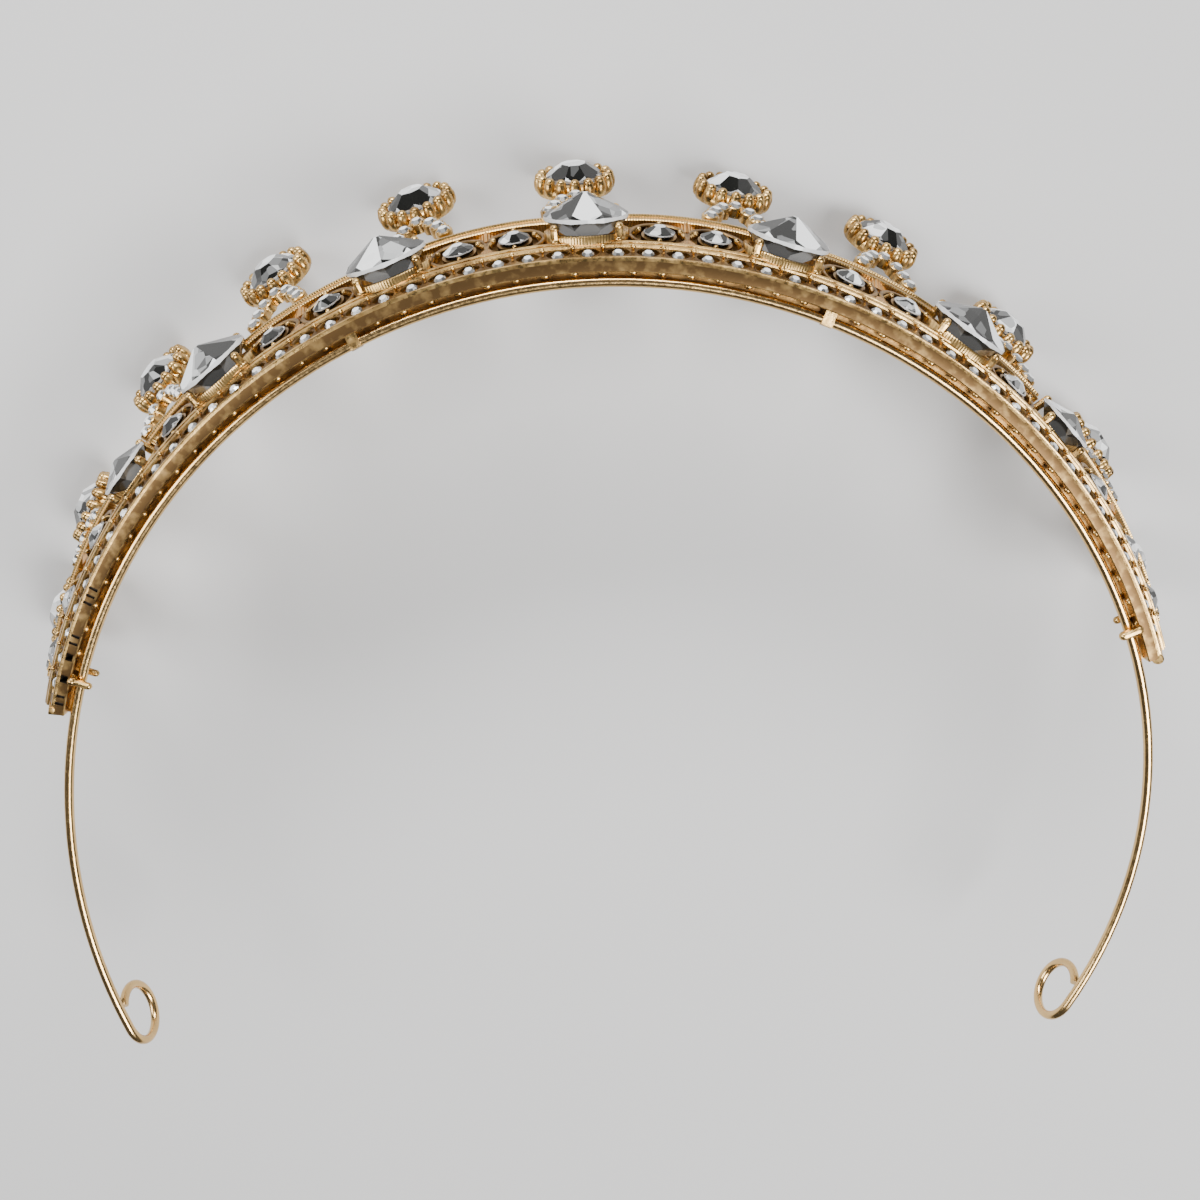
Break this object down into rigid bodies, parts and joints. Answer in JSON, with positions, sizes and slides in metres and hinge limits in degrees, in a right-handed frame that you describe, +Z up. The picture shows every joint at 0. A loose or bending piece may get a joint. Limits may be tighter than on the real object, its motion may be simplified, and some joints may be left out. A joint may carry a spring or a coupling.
{
  "type": "rhinestone tiara",
  "caption": "Curved tiara with a row of small stones, pierced openwork, large round stones and finials on arches, on a headband wire with eye loops, lying upside down.",
  "frame": {"origin": "centre of the bounding box's bottom, in the plane of the table that the finials rest on", "axes": "+X along the width, front of the tiara towards -Y, open back towards +Y, +Z up, which is towards the tiara's own lower edge because it lies upside down"},
  "size_m": [0.1584, 0.1218, 0.0303],
  "materials": {
    "gold": "polished",
    "crystal": "polished"
  },
  "bodies": {
    "root": {"band": "gold", "headband_wire": "gold", "border_stones": "crystal", "arch_stones": "crystal", "large_stone_1": "crystal", "large_stone_2": "crystal", "large_stone_3": "crystal", "large_stone_4": "crystal", "large_stone_5": "crystal", "large_stone_6": "crystal", "large_stone_7": "crystal", "finial_stone_1": "crystal", "finial_stone_2": "crystal", "finial_stone_3": "crystal", "finial_stone_4": "crystal", "finial_stone_5": "crystal", "finial_stone_6": "crystal", "finial_stone_7": "crystal", "finial_stone_8": "crystal", "finial_stone_9": "crystal", "finial_stone_10": "crystal", "finial_stone_11": "crystal", "mid_stone_1": "crystal", "mid_stone_2": "crystal", "mid_stone_3": "crystal", "mid_stone_4": "crystal", "mid_stone_5": "crystal", "mid_stone_6": "crystal", "mid_stone_7": "crystal", "mid_stone_8": "crystal", "mid_stone_9": "crystal", "mid_stone_10": "crystal", "mid_stone_11": "crystal", "mid_stone_12": "crystal", "mid_stone_13": "crystal", "mid_stone_14": "crystal", "mid_stone_15": "crystal", "mid_stone_16": "crystal"}
  },
  "joints": []
}
